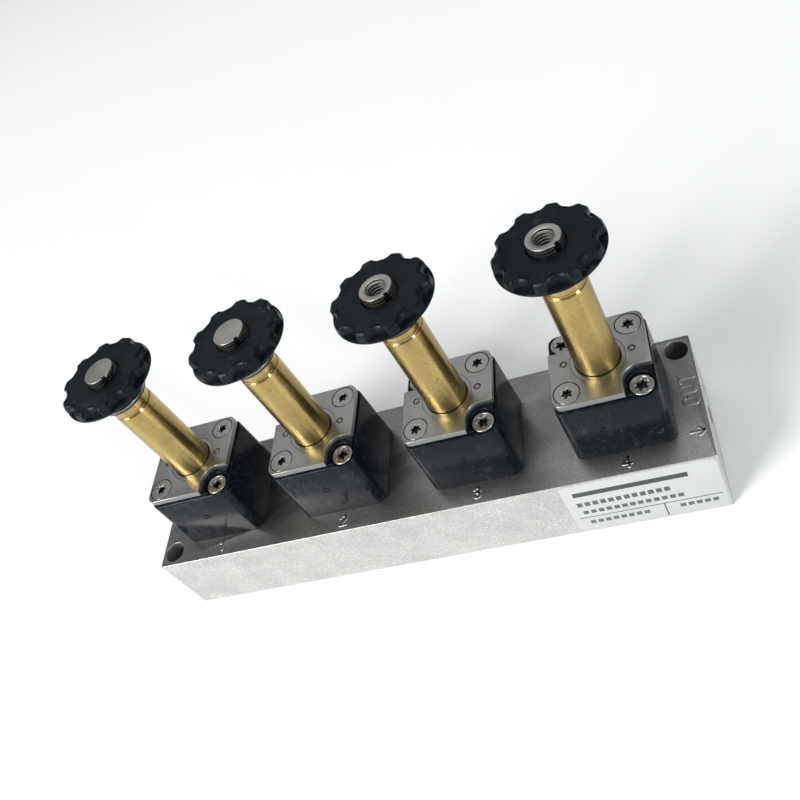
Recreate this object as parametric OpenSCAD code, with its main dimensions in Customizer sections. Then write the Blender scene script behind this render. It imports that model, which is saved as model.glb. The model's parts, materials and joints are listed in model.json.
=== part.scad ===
// Four-station pilot valve manifold.
// An aluminium block carries four moulded valve bodies in a row. Each body holds a
// brass armature tube with a threaded stem on top, and a hand nut on the stem that
// would clamp a solenoid coil. All sizes are in millimetres.
// Origin: the middle of the block's underside. +X runs along the block to its outlet
// end, +Y to the back, +Z up along the armature tubes.

/* [Manifold block] */
// Length of the block along X
block_l = 187; // [186:1:240]
// Width of the block along Y
block_w = 45; // [44:1:70]
// Height of the block
block_h = 27; // [24:1:40]
// Chamfer on every outer edge of the block
block_chamfer = 0.6; // [0.3:0.1:1.5]
// Distance between neighbouring stations
station_pitch = 46; // [40:0.5:46]
// How far the middle of the row lies to the right of the block's middle
station_shift = 0.6; // [0:0.1:1]
// Diameter of the two mounting holes
mount_hole_d = 7; // [5:0.1:8]
// Distance of a mounting hole from the nearest end of the block
mount_end_inset = 4.6; // [4.5:0.1:6]
// Distance of a mounting hole from the nearest long side of the block
mount_side_inset = 5.1; // [4.6:0.1:6]
// Diameter of the supply and outlet galleries
gallery_d = 8; // [5:0.5:9]
// Tapping diameter of the end ports, for a quarter inch pipe thread
port_d = 11.8; // [10:0.1:12]
// Depth of the end ports
port_depth = 13; // [8:1:16]
// Height of the cast marks above the block
mark_h = 0.3; // [0.1:0.1:0.6]
// Stroke width of the cast marks
mark_stroke = 0.7; // [0.4:0.1:1]

/* [Valve body] */
// Side of the square valve body at its foot
body_w = 30; // [29.5:0.1:32]
// Side of the valve body at its top
body_top_w = 29.2; // [29:0.1:29.5]
// Height of the valve body
body_h = 23.6; // [23:0.1:26]
// Radius of the valve body's upright corners
body_corner_r = 2.6; // [1:0.1:3]
// Diameter of the bore that takes the tube's lower end
chamber_d = 13.2; // [13.1:0.1:13.4]
// Distance of the flat-head screws from the tube's axis, along X and Y
plate_screw_xy = 9.85; // [9.6:0.05:10]
// Distance of the cap screws from the tube's axis along X
cap_screw_x = 10.3; // [10.1:0.1:10.5]
// Distance of the cap screws from the tube's axis along Y
cap_screw_y = 10.6; // [10.4:0.1:10.8]

/* [Retaining plate] */
// Side of the square retaining plate
plate_w = 28.6; // [28:0.1:29]
// Thickness of the retaining plate
plate_t = 2; // [1.8:0.1:2.5]
// Radius of the plate's two full corners
plate_corner_r = 2.8; // [1:0.1:4]
// Radius of the rounded inner corner of the notches that clear the cap screws
notch_r = 5; // [3.5:0.1:5.5]

/* [Armature tube] */
// Outer diameter of the armature tube
tube_d = 13; // [12.9:0.05:13]
// Wall thickness of the armature tube
tube_wall = 0.5; // [0.4:0.05:0.6]
// Height of the tube's top end above the valve body's foot
tube_top = 62; // [60:0.5:62]
// Depth of the rolled groove that locks the fixed core
crimp_depth = 0.4; // [0.2:0.05:0.5]

/* [Armature and core] */
// Radial clearance of the armature in its tube
armature_gap = 0.07; // [0.04:0.01:0.1]
// Distance that the armature lifts
armature_lift = 0.8; // [0.5:0.1:1]
// Diameter of the nozzle that the armature closes
nozzle_d = 1.2; // [0.8:0.1:1.6]
// Number of turns of the return spring
spring_turns = 9; // [6:1:12]
// Wire diameter of the return spring
spring_wire_d = 0.5; // [0.4:0.05:0.6]
// Outer diameter of the threaded stem
stem_d = 10; // [10:0.1:10]
// Height of the stem's top above the valve body's foot
stem_top = 74.6; // [74:0.1:76]
// Pitch of the stem's outer thread
stem_pitch = 1; // [0.8:0.1:1.2]
// Tapping diameter of the exhaust thread in the third and fourth stems
exhaust_d = 5; // [4:0.1:5.2]

/* [Coil nut] */
// Diameter of the nut over its smooth flange
nut_d = 30; // [28:0.5:31]
// Number of finger flutes round the nut
nut_flutes = 10; // [6:1:12]
// Depth of a finger flute
flute_depth = 1.4; // [0.6:0.1:1.8]
// Radius of a finger flute
flute_r = 4; // [3:0.1:5]
// Height of the nut's rim above the valve body's foot
nut_top = 72.8; // [72.5:0.1:73.5]
// Clearance between the nut's bore and the stem
nut_gap = 0.05; // [0.02:0.01:0.1]

/* [Rating label] */
// Length of the label
label_l = 45.3; // [30:0.1:46]
// Height of the label
label_h = 25.8; // [15:0.1:25.8]
// Thickness of the label
label_t = 0.1; // [0.05:0.05:0.2]

/* [Hidden] */
$fn = 64;
hull_fn = 32;
eps = 0.01;
stations = [1, 2, 3, 4];
exhaust_stations = [3, 4];
station_x = [for (s = stations) station_shift + (s - 2.5) * station_pitch];
nut_phase = [18, 0, 18, 25];
port_z = 12;
supply_y = -3.5;
outlet_y = 6.2;
gallery_end = 12;
passage_y = 5.2;
passage_d = 2.4;
passage_gap = 0.4;
label_inset = 0.6;
label_corner_r = 2.5;

// Cast marks, from the station's axis or the outlet end of the block
mark_fn = 24;
numeral_dx = -0.4;
numeral_y = -18.6;
word_inset = 3.5;
word_y = -2.4;
letter_pitch = [4.3, 8.5];
letter_r = 1.2;
letter_half_h = 2.1;
tee_half_w = 1.6;
arrow_inset = 3.2;
arrow_y = -13.3;
mount_x = block_l / 2 - mount_end_inset;
mount_y = block_w / 2 - mount_side_inset;

// Heights inside a station, above the valve body's foot
gasket_t = 1;
gasket_w = 27;
gasket_gap = 0.05;
seat_foot = 6;
seat_duct_h = 3;
seat_r = 3.5;
seat_gap = 0.02;
seat_shelf = 0.4;
nose_foot_r = 2.4;
nose_tip_r = 1;
chamber_z = 11;
tube_foot = 12;
seat_top = 13.2;
pocket_z = 19;
ring_d = 1.76;
collar_z = 20.8;
collar_foot_r = 8.8;
pocket_r = 9;
plate_top = body_h + plate_t;
collar_r = 7.9;
collar_clear = 0.1;
stake_x = 9.8;
stake_y = 0.6;
stake_r = 1.1;
stake_groove_w = 0.3;
stake_depth = 0.2;
armature_foot = seat_top + 0.4;
armature_flat_w = 5;
armature_flat_depth = 0.5;
seal_gap = 0.05;
seal_pocket_r = 3.2;
seal_pocket_h = 2.4;
core_foot = 43.9;
armature_top = core_foot - armature_lift - 0.1;
armature_r = tube_d / 2 - tube_wall - armature_gap;
core_r = tube_d / 2 - tube_wall - 0.02;
spring_pocket_r = 3.2;
spring_pocket_z = 31;
spring_r = 2.6;
spring_gap = 0.02;
shading_outer_r = 5;
shading_inner_r = 4.2;
shading_h = 1;
shading_gap = 0.02;
crimp_z = 57.5;
crimp_w = 2;
tube_roll_r = 0.8;
tube_mouth_gap = 0.2;
shoulder_z = tube_top - 0.4;
stem_root_depth = 0.55;
stem_chamfer = [0.3, 0.5];
key_angle = -48;
key_w = 1.2;
exhaust_depth = 9;
exhaust_pitch = 1;
exhaust_root_depth = 0.5;
exhaust_mouth = 0.15;
exhaust_duct_r = 1;
stack_gap = 0.05;
notch_x = 5.8;
notch_y = 5.3;
seal_z = tube_top + 0.1;
seal_t = 0.7;
seal_r = 7.9;
washer_z = seal_z + seal_t + stack_gap;
washer_t = 0.9;
washer_r = 8.2;
nut_z = washer_z + washer_t + stack_gap;
hub_r = 8.6;
hub_flare = 1;
hub_end = 66;
flange_bottom = 68.4;
flange_lip = [1.2, 0.4];
rim_r_step = 0.6;
face_land = [0.8, 2.6, 3.6];
nut_lead = 0.5;
flute_floor = 70.4;
nut_face = 72.4;

// Screws
shank_r = 2;
thread_gap = 0.03;
flat_head_r = 3.75;
flat_head_gap = 0.12;
flat_shank_l = 12;
flat_recess_depth = 1.1;
cap_head_r = 3.5;
cap_head_h = 4;
cap_top = 23;
cap_pocket_r = 3.9;
cap_shank_gap = 0.25;
cap_chamfer = 0.3;
cap_recess_depth = 2;
cap_reach = 9;
recess_hub_r = 1.42;
recess_lobe_r = 0.45;
recess_lobe_x = 1.5;

// ---- Helpers ----

// Moves a shape from a station's own axis to its place on the block.
module at_station(s) {
    translate([station_x[s - 1], 0, block_h]) children();
}

module chamfered_outline(a, b, c) {
    polygon([
        [c - a, -b], [a - c, -b], [a, c - b], [a, b - c],
        [a - c, b], [c - a, b], [-a, b - c], [-a, c - b]
    ]);
}

module chamfered_block(l, w, h, c) {
    intersection() {
        linear_extrude(h) chamfered_outline(l / 2, w / 2, c);
        translate([0, w / 2, h / 2]) rotate([90, 0, 0])
            linear_extrude(w) chamfered_outline(l / 2, h / 2, c);
        translate([-l / 2, 0, h / 2]) rotate([90, 0, 90])
            linear_extrude(l) chamfered_outline(w / 2, h / 2, c);
    }
}

module rounded_square(w, r) {
    hull() for (x = [-1, 1], y = [-1, 1])
        translate([x * (w / 2 - r), y * (w / 2 - r)]) circle(r);
}

module tapered_square(foot_w, top_w, h, r) {
    hull() {
        linear_extrude(eps) rounded_square(foot_w, r, $fn = hull_fn);
        translate([0, 0, h - eps]) linear_extrude(eps)
            rounded_square(top_w, r, $fn = hull_fn);
    }
}

module ring(outer_r, inner_r, h) {
    difference() {
        cylinder(r = outer_r, h = h);
        translate([0, 0, -eps]) cylinder(r = inner_r, h = h + 2 * eps);
    }
}

// Cutter for a six-lobe screwdriver recess, open at z = 0.
module six_lobe_recess(depth) {
    translate([0, 0, -depth]) {
        cylinder(r = recess_hub_r, h = depth + eps);
        for (a = [0:60:300]) rotate(a) translate([recess_lobe_x, 0, 0])
            cylinder(r = recess_lobe_r, h = depth + eps);
    }
}

// A stroke of a cast mark, with round ends.
module stroke(from, to) {
    d = to - from;
    length = norm(d);
    translate([from[0], from[1], -eps]) rotate(atan2(d[1], d[0])) {
        translate([0, -mark_stroke / 2, 0]) cube([length, mark_stroke, mark_h + eps]);
        for (x = [0, length]) translate([x, 0, 0])
            cylinder(d = mark_stroke, h = mark_h + eps, $fn = mark_fn);
    }
}

// An arc stroke about a centre, of the given radius, from angle a0 to a1.
module arc_stroke(centre, r, a0, a1) {
    translate([centre[0], centre[1], -eps]) rotate(a0)
        rotate_extrude(angle = a1 - a0)
            translate([r - mark_stroke / 2, 0]) square([mark_stroke, mark_h + eps]);
}

// ---- Manifold block ----

module numeral(n) {
    if (n == 1) {
        stroke([0, -1.7], [0, 1.7]);
        stroke([-0.9, 0.9], [0, 1.7]);
    }
    if (n == 2) {
        arc_stroke([0, 0.7], 1, -30, 170);
        stroke([0.87, 0.2], [-1, -1.7]);
        stroke([-1, -1.7], [1.1, -1.7]);
    }
    if (n == 3) {
        arc_stroke([0, 0.85], 0.85, -90, 160);
        arc_stroke([0, -0.85], 0.85, -160, 90);
    }
    if (n == 4) {
        stroke([0.4, -1.7], [0.4, 1.7]);
        stroke([0.4, 1.7], [-1.2, -0.6]);
        stroke([-1.2, -0.6], [1.2, -0.6]);
    }
}

// The outlet's cast word, read from the front of the block to the back.
module outlet_word() {
    side_h = letter_half_h - letter_r;
    for (side = [-1, 1]) stroke([side * letter_r, -side_h], [side * letter_r, side_h]);
    arc_stroke([0, side_h], letter_r, 0, 180);
    arc_stroke([0, -side_h], letter_r, 180, 360);
    translate([letter_pitch[0], 0]) {
        for (side = [-1, 1]) stroke([side * letter_r, -side_h], [side * letter_r, letter_half_h]);
        arc_stroke([0, -side_h], letter_r, 180, 360);
    }
    translate([letter_pitch[1], 0]) {
        stroke([0, -letter_half_h], [0, letter_half_h]);
        stroke([-tee_half_w, letter_half_h], [tee_half_w, letter_half_h]);
    }
}

module flow_arrow() {
    stroke([-2.2, 0], [1.6, 0]);
    for (side = [-1, 1]) stroke([1.6, 0], [0.2, side * 1.3]);
}

module cast_marks() {
    translate([0, 0, block_h]) {
        for (s = stations) translate([station_x[s - 1] + numeral_dx, numeral_y, 0]) numeral(s);
        translate([block_l / 2 - word_inset, word_y, 0]) rotate(90) outlet_word();
        translate([block_l / 2 - arrow_inset, arrow_y, 0]) flow_arrow();
    }
}

module station_drillings(s) {
    at_station(s) {
        for (y = [0, passage_y]) translate([0, y, port_z - block_h])
            cylinder(d = passage_d, h = block_h);
        for (side = [-1, 1])
            translate([side * cap_screw_x, -side * cap_screw_y, -cap_reach - 1])
                cylinder(r = shank_r + thread_gap, h = cap_reach + 2);
    }
}

module manifold_block() {
    gallery_l = block_l - gallery_end;
    color([0.62, 0.61, 0.59]) {
        difference() {
            union() {
                chamfered_block(block_l, block_w, block_h, block_chamfer);
                cast_marks();
            }
            for (side = [-1, 1]) translate([side * mount_x, side * mount_y, -1])
                cylinder(d = mount_hole_d, h = block_h + 2);
            translate([-block_l / 2 - 1, supply_y, port_z]) rotate([0, 90, 0]) {
                cylinder(d = gallery_d, h = gallery_l + 1);
                cylinder(d = port_d, h = port_depth + 1);
            }
            translate([block_l / 2 - gallery_l, outlet_y, port_z]) rotate([0, 90, 0])
                cylinder(d = gallery_d, h = gallery_l + 1);
            translate([block_l / 2 - port_depth, outlet_y, port_z]) rotate([0, 90, 0])
                cylinder(d = port_d, h = port_depth + 1);
            for (s = stations) station_drillings(s);
        }
    }
}

module rating_label() {
    r = label_corner_r;
    color([0.88, 0.89, 0.86])
        translate([block_l / 2 - label_l - label_inset + r, -block_w / 2, label_inset + r])
            rotate([90, 0, 0]) linear_extrude(label_t) hull()
                for (x = [0, label_l - 2 * r], z = [0, label_h - 2 * r])
                    translate([x, z]) circle(r, $fn = hull_fn);
}

// ---- Fixed pieces of a station ----

module base_gaskets() {
    color([0.07, 0.07, 0.07]) for (s = stations) at_station(s)
        linear_extrude(gasket_t - gasket_gap) difference() {
            square(gasket_w - 2 * gasket_gap, center = true);
            for (y = [0, passage_y]) translate([0, y]) circle(d = passage_d + 2 * passage_gap);
            for (side = [-1, 1]) translate([side * cap_screw_x, -side * cap_screw_y])
                circle(r = shank_r + passage_gap);
        }
}

module valve_body(s) {
    color([0.06, 0.065, 0.075]) at_station(s) difference() {
        tapered_square(body_w, body_top_w, body_h, body_corner_r);
        translate([0, 0, gasket_t / 2 - eps])
            cube([gasket_w, gasket_w, gasket_t + 2 * eps], center = true);
        // Supply passage, seat bore, armature chamber and the pocket for the tube
        cylinder(d = passage_d, h = body_h);
        translate([0, 0, seat_foot]) cylinder(r = seat_r, h = body_h);
        translate([0, 0, chamber_z]) cylinder(d = chamber_d, h = body_h);
        translate([0, 0, pocket_z]) cylinder(r = pocket_r, h = body_h);
        // Outlet passage from the chamber's floor
        translate([0, passage_y, -1]) cylinder(d = passage_d, h = chamber_z + 2);
        for (side = [-1, 1]) {
            translate([side * cap_screw_x, -side * cap_screw_y, 0]) {
                translate([0, 0, -1]) cylinder(r = shank_r + cap_shank_gap, h = body_h + 2);
                translate([0, 0, cap_top - cap_head_h]) cylinder(r = cap_pocket_r, h = body_h);
            }
            translate([side * plate_screw_xy, side * plate_screw_xy, body_h - flat_shank_l])
                cylinder(r = shank_r + thread_gap, h = flat_shank_l + 1);
        }
    }
}

module valve_seats() {
    shelf_z = chamber_z + seat_shelf;
    color([0.72, 0.58, 0.28]) for (s = stations) at_station(s) difference() {
        union() {
            translate([0, 0, seat_foot]) cylinder(r = seat_r - seat_gap, h = shelf_z - seat_foot);
            translate([0, 0, shelf_z - eps])
                cylinder(r1 = nose_foot_r, r2 = nose_tip_r, h = seat_top - shelf_z + eps);
        }
        translate([0, 0, seat_foot - 1]) cylinder(d = nozzle_d, h = body_h);
        translate([0, 0, seat_foot - 1]) cylinder(d = passage_d, h = seat_duct_h + 1);
    }
}

module tube_o_rings() {
    color([0.05, 0.05, 0.05]) for (s = stations) at_station(s)
        translate([0, 0, pocket_z + ring_d / 2]) rotate_extrude()
            translate([(pocket_r + tube_d / 2) / 2, 0]) circle(d = ring_d, $fn = 24);
}

module tube_collars() {
    color([0.66, 0.65, 0.62]) for (s = stations) at_station(s)
        translate([0, 0, collar_z]) difference() {
            union() {
                cylinder(r = collar_foot_r, h = body_h - collar_z);
                cylinder(r = collar_r, h = plate_top - collar_z - 0.05);
            }
            translate([0, 0, -1]) cylinder(d = tube_d + collar_clear, h = body_h);
        }
}

// The front right notch, whose straight sides run out past the plate's edges.
module notch_outline() {
    translate([notch_x + notch_r, -notch_y - notch_r]) circle(notch_r);
    translate([notch_x, -body_w]) square([body_w, body_w - notch_y - notch_r]);
    translate([notch_x + notch_r, -body_w]) square([body_w, body_w - notch_y]);
}

module plate_outline() {
    difference() {
        union() {
            square([plate_w, plate_w - 2 * plate_corner_r], center = true);
            square([plate_w - 2 * plate_corner_r, plate_w], center = true);
            for (side = [-1, 1])
                translate([side, side] * (plate_w / 2 - plate_corner_r)) circle(plate_corner_r);
        }
        for (side = [-1, 1])
            rotate(90 - side * 90) notch_outline();
    }
}

module retaining_plate(s) {
    color([0.68, 0.66, 0.62]) at_station(s) translate([0, 0, body_h]) {
        difference() {
            linear_extrude(plate_t) plate_outline();
            translate([0, 0, -1]) cylinder(r = collar_r + collar_clear, h = plate_t + 2);
            for (side = [-1, 1]) {
                translate([side, side, 0] * plate_screw_xy) {
                    translate([0, 0, -1]) cylinder(r = shank_r + cap_shank_gap, h = plate_t + 2);
                    translate([0, 0, plate_t - flat_head_r + shank_r])
                        cylinder(r1 = shank_r + flat_head_gap, r2 = flat_head_r + flat_head_gap,
                            h = flat_head_r - shank_r + eps);
                }
                translate([side * stake_x, stake_y, plate_t - stake_depth])
                    ring(stake_r, stake_r - stake_groove_w, 1);
            }
        }
    }
}

module plate_screws() {
    head_h = flat_head_r - shank_r;
    color([0.7, 0.68, 0.64]) for (s = stations, side = [-1, 1]) at_station(s)
        translate([side * plate_screw_xy, side * plate_screw_xy, plate_top]) difference() {
            union() {
                translate([0, 0, -head_h]) cylinder(r1 = shank_r, r2 = flat_head_r, h = head_h - eps);
                translate([0, 0, -plate_t - flat_shank_l + 0.5])
                    cylinder(r = shank_r, h = flat_shank_l + plate_t - head_h);
            }
            rotate(side * 20) six_lobe_recess(flat_recess_depth);
        }
}

module body_screws() {
    color([0.55, 0.54, 0.52]) for (s = stations, side = [-1, 1]) at_station(s)
        translate([side * cap_screw_x, -side * cap_screw_y, 0]) difference() {
            union() {
                translate([0, 0, cap_top - cap_head_h])
                    cylinder(r = cap_head_r, h = cap_head_h - cap_chamfer);
                translate([0, 0, cap_top - cap_chamfer])
                    cylinder(r1 = cap_head_r, r2 = cap_head_r - cap_chamfer, h = cap_chamfer);
                translate([0, 0, -cap_reach]) cylinder(r = shank_r, h = cap_top - 1 + cap_reach);
            }
            translate([0, 0, cap_top]) rotate(side * 35) six_lobe_recess(cap_recess_depth);
        }
}

// ---- Tube, core and armature ----

// A rolled groove's outline, going up: a cosine dip of the given depth.
function crimp_outline(r, depth) = [
    for (k = [0:8]) [r - depth * (1 - cos(45 * k)) / 2, crimp_z + crimp_w * k / 8]
];

module armature_tube(s) {
    r = tube_d / 2;
    bore_r = r - tube_wall;
    mouth_r = stem_d / 2 + tube_mouth_gap;
    inner = crimp_outline(bore_r, crimp_depth);
    color([0.74, 0.6, 0.3]) at_station(s) rotate_extrude() polygon(concat(
        [[bore_r, tube_foot], [r, tube_foot]],
        crimp_outline(r, crimp_depth),
        [for (a = [0:15:90])
            [r, tube_top] + tube_roll_r * [cos(a) - 1, sin(a) - 1]],
        [[mouth_r, tube_top], [mouth_r, shoulder_z], [bore_r, shoulder_z]],
        [for (k = [8:-1:0]) inner[k]]
    ));
}

// Zigzag outline of a thread on a shaft or in a bore, as rings of one pitch each.
function thread_outline(crest_r, root_r, pitch, z0, count) = [
    for (k = [0:count - 1], p = [[crest_r, 0], [crest_r, 0.3], [root_r, 0.6], [root_r, 0.7]])
        [p[0], z0 + (k + p[1]) * pitch]
];

module exhaust_bore() {
    crest_r = exhaust_d / 2;
    root_r = crest_r + exhaust_root_depth;
    mouth_r = root_r + exhaust_mouth;
    foot_z = stem_top - exhaust_depth;
    count = exhaust_depth / exhaust_pitch - 1;
    translate([0, 0, core_foot - 1]) cylinder(r = exhaust_duct_r, h = stem_top);
    rotate_extrude() polygon(concat(
        [[0, foot_z - exhaust_pitch], [crest_r, foot_z - exhaust_pitch]],
        thread_outline(crest_r, root_r, exhaust_pitch, foot_z, count),
        [[crest_r, stem_top - exhaust_pitch], [crest_r, stem_top + crest_r - mouth_r],
            [mouth_r, stem_top], [mouth_r, stem_top + 1], [0, stem_top + 1]]
    ));
}

module fixed_core(s) {
    stem_r = stem_d / 2;
    thread_z = tube_top + 0.6;
    thread_count = floor((stem_top - 1 - thread_z) / stem_pitch);
    crimp = crimp_outline(core_r, crimp_depth);
    color([0.6, 0.59, 0.57]) at_station(s) difference() {
        rotate_extrude() polygon(concat(
            [[0, core_foot], [core_r, core_foot]],
            crimp,
            [[core_r, shoulder_z - 0.05], [stem_r, shoulder_z - 0.05]],
            thread_outline(stem_r, stem_r - stem_root_depth, stem_pitch, thread_z, thread_count),
            [[stem_r, thread_z + thread_count * stem_pitch], [stem_r, stem_top - stem_chamfer[1]],
                [stem_r - stem_chamfer[0], stem_top], [0, stem_top]]
        ));
        translate([0, 0, core_foot - 1])
            ring(shading_outer_r, shading_inner_r, shading_h + 1);
        // Keyway down the stem's front right side
        rotate(key_angle) translate([stem_r - stem_root_depth, -key_w / 2, thread_z])
            cube([key_w, key_w, stem_top]);
        if (len(search(s, exhaust_stations)) > 0) exhaust_bore();
    }
}

module shading_rings() {
    color([0.72, 0.4, 0.26]) for (s = stations) at_station(s)
        translate([0, 0, core_foot])
            ring(shading_outer_r - shading_gap, shading_inner_r + shading_gap, shading_h - shading_gap);
}

module armature(s) {
    color([0.58, 0.58, 0.57]) at_station(s) difference() {
        translate([0, 0, armature_foot])
            cylinder(r = armature_r, h = armature_top - armature_foot);
        translate([0, 0, armature_foot - 1]) cylinder(r = seal_pocket_r, h = seal_pocket_h + 1);
        translate([0, 0, spring_pocket_z]) cylinder(r = spring_pocket_r, h = armature_top);
        // Flats that let air pass the armature
        for (a = [0:90:270]) rotate(a + 45)
            translate([armature_r - armature_flat_depth, -armature_flat_w / 2, armature_foot - 1])
                cube([armature_flat_w, armature_flat_w, armature_top]);
    }
}

module armature_seal(s) {
    foot_z = seat_top + seal_gap;
    color([0.08, 0.07, 0.07]) at_station(s) translate([0, 0, foot_z])
        cylinder(r = seal_pocket_r - eps, h = armature_foot + seal_pocket_h - eps - foot_z);
}

// Points of one ring of the spring's wire at angle a along the helix.
function wire_ring(a, z, sides) = [
    for (k = [0:sides - 1])
        let (u = spring_r + spring_wire_d / 2 * cos(360 * k / sides))
        [u * cos(a), u * sin(a), z + spring_wire_d / 2 * sin(360 * k / sides)]
];

module return_spring(s) {
    sides = 6;
    steps = 10;
    z0 = spring_pocket_z + spring_wire_d / 2 + spring_gap;
    z1 = core_foot - spring_wire_d / 2 - spring_gap;
    count = spring_turns * steps;
    points = [for (i = [0:count]) each wire_ring(360 * i / steps, z0 + (z1 - z0) * i / count, sides)];
    walls = [for (i = [0:count - 1], k = [0:sides - 1])
        [i * sides + k, (i + 1) * sides + k, (i + 1) * sides + (k + 1) % sides,
            i * sides + (k + 1) % sides]];
    caps = [[for (k = [0:sides - 1]) k], [for (k = [sides - 1:-1:0]) count * sides + k]];
    color([0.72, 0.72, 0.72]) at_station(s)
        polyhedron(points = points, faces = concat(walls, caps), convexity = 10);
}

// ---- Coil nut and what it carries ----

module nut_seal(s) {
    color([0.05, 0.05, 0.05]) at_station(s)
        translate([0, 0, seal_z]) ring(seal_r, stem_d / 2 + nut_gap, seal_t);
}

module nut_washer(s) {
    color([0.78, 0.77, 0.74]) at_station(s)
        translate([0, 0, washer_z]) ring(washer_r, stem_d / 2 + nut_gap, washer_t);
}

module coil_nut(s) {
    r = nut_d / 2;
    bore_r = stem_d / 2 + nut_gap;
    color([0.05, 0.055, 0.065]) at_station(s) rotate(nut_phase[s - 1]) difference() {
        rotate_extrude($fn = 96) polygon([
            [bore_r, nut_z], [hub_r, nut_z], [hub_r, hub_end],
            [hub_r + hub_flare, hub_end + hub_flare], [r - flange_lip[0], flange_bottom],
            [r - flange_lip[1], flange_bottom + flange_lip[1] / 2],
            [r, flange_bottom + rim_r_step], [r, flute_floor],
            [r - rim_r_step / 3, nut_top - rim_r_step], [r - face_land[0], nut_top],
            [r - face_land[1], nut_top], [r - face_land[2], nut_face],
            [bore_r + nut_lead, nut_face], [bore_r, nut_face - nut_lead]
        ]);
        for (k = [0:nut_flutes - 1]) rotate(k * 360 / nut_flutes)
            translate([r + flute_r - flute_depth - 0.2, 0, flute_floor])
                cylinder(r = flute_r, h = nut_top);
    }
}

// ---- One line for each node ----

manifold_block();
rating_label();
base_gaskets();
valve_seats();
tube_o_rings();
tube_collars();
shading_rings();
plate_screws();
body_screws();
for (s = stations) {
    valve_body(s);
    retaining_plate(s);
    armature_tube(s);
    fixed_core(s);
    armature(s);
    armature_seal(s);
    return_spring(s);
    nut_seal(s);
    nut_washer(s);
    coil_nut(s);
}
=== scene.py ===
import json
import math

import bmesh
import bpy
from mathutils import Matrix, Vector, noise


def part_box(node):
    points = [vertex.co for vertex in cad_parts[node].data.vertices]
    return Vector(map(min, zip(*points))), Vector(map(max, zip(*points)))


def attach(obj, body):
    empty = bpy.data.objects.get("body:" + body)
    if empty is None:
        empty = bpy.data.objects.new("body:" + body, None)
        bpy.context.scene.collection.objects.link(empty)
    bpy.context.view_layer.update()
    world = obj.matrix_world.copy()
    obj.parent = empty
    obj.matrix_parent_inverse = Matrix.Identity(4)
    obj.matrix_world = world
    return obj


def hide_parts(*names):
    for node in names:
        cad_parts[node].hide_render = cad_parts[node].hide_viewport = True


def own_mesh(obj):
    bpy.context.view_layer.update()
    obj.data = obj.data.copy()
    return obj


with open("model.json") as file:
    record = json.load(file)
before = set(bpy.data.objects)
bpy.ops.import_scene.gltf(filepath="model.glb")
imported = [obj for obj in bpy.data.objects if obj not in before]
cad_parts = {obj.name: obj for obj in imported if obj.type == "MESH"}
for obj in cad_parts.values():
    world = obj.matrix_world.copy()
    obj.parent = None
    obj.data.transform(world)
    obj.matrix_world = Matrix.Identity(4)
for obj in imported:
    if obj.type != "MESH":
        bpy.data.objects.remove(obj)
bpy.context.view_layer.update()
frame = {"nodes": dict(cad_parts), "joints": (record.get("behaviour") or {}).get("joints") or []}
print("frame loaded")

# Shapes are drawn in millimetres about a station's own axis, with z up from the valve
# body's foot, and turned to metres in the frame when they are placed.
mm = 0.001
perMetre = 1000
stations = (1, 2, 3, 4)
openStems = (3, 4)  # these two have an exhaust thread
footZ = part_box("valve_body_1")[0].z
manifold = "manifold_assembly"


def axisOf(station):
    low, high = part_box(f"armature_tube_{station}")
    return Vector(((low.x + high.x) / 2, (low.y + high.y) / 2, footZ))


def spanOf(node):
    low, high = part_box(node)
    return (low.z - footZ) / mm, (high.z - footZ) / mm


def widthOf(node):
    low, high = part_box(node)
    return (high.x - low.x) / mm


# outlines and profiles are lists of points in millimetres
def arc(centre, radius, start, end, count):
    return [(centre[0] + radius * math.cos(math.radians(start + (end - start) * k / count)),
             centre[1] + radius * math.sin(math.radians(start + (end - start) * k / count)))
            for k in range(count + 1)]


def softCorners(points, closed=True, steps=4):
    # each point is (x, y, fillet); a fillet becomes a short curve between its two edges
    made, total = [], len(points)
    for k, (x, y, fillet) in enumerate(points):
        atEnd = not closed and k in (0, total - 1)
        if atEnd or fillet == 0:
            made.append((x, y))
            continue
        here = Vector((x, y))
        before = Vector(points[k - 1][:2]) - here
        after = Vector(points[(k + 1) % total][:2]) - here
        reach = min(fillet, before.length * 0.49, after.length * 0.49)
        a, b = here + before.normalized() * reach, here + after.normalized() * reach
        for step in range(steps + 1):
            t = step / steps
            p = a * (1 - t) ** 2 + here * 2 * t * (1 - t) + b * t ** 2
            made.append((p.x, p.y))
    return made


def roundedSquare(width, radius, count=10):
    reach = width / 2 - radius
    outline = []
    for quarter, (sx, sy) in enumerate(((1, 1), (-1, 1), (-1, -1), (1, -1))):
        outline += arc((sx * reach, sy * reach), radius, quarter * 90, quarter * 90 + 90, count)
    return outline


def inset(outline, distance):
    # every point moves in along the mean of its two edges' normals; the outline runs anticlockwise
    made, total = [], len(outline)
    for k in range(total):
        here = Vector(outline[k])
        back = (here - Vector(outline[k - 1])).normalized()
        ahead = (Vector(outline[(k + 1) % total]) - here).normalized()
        normal = Vector((-back.y - ahead.y, back.x + ahead.x)).normalized()
        scale = 1 / max(0.5, normal.dot(Vector((-back.y, back.x))))
        p = here + normal * distance * scale
        made.append((p.x, p.y))
    return made


def meshOf(points, faces):
    mesh = bpy.data.meshes.new("shape")
    mesh.from_pydata(points, [], faces)
    work = bmesh.new()
    work.from_mesh(mesh)
    bmesh.ops.remove_doubles(work, verts=work.verts, dist=1e-5)
    bmesh.ops.recalc_face_normals(work, faces=work.faces)
    work.to_mesh(mesh)
    work.free()
    return mesh


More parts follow.
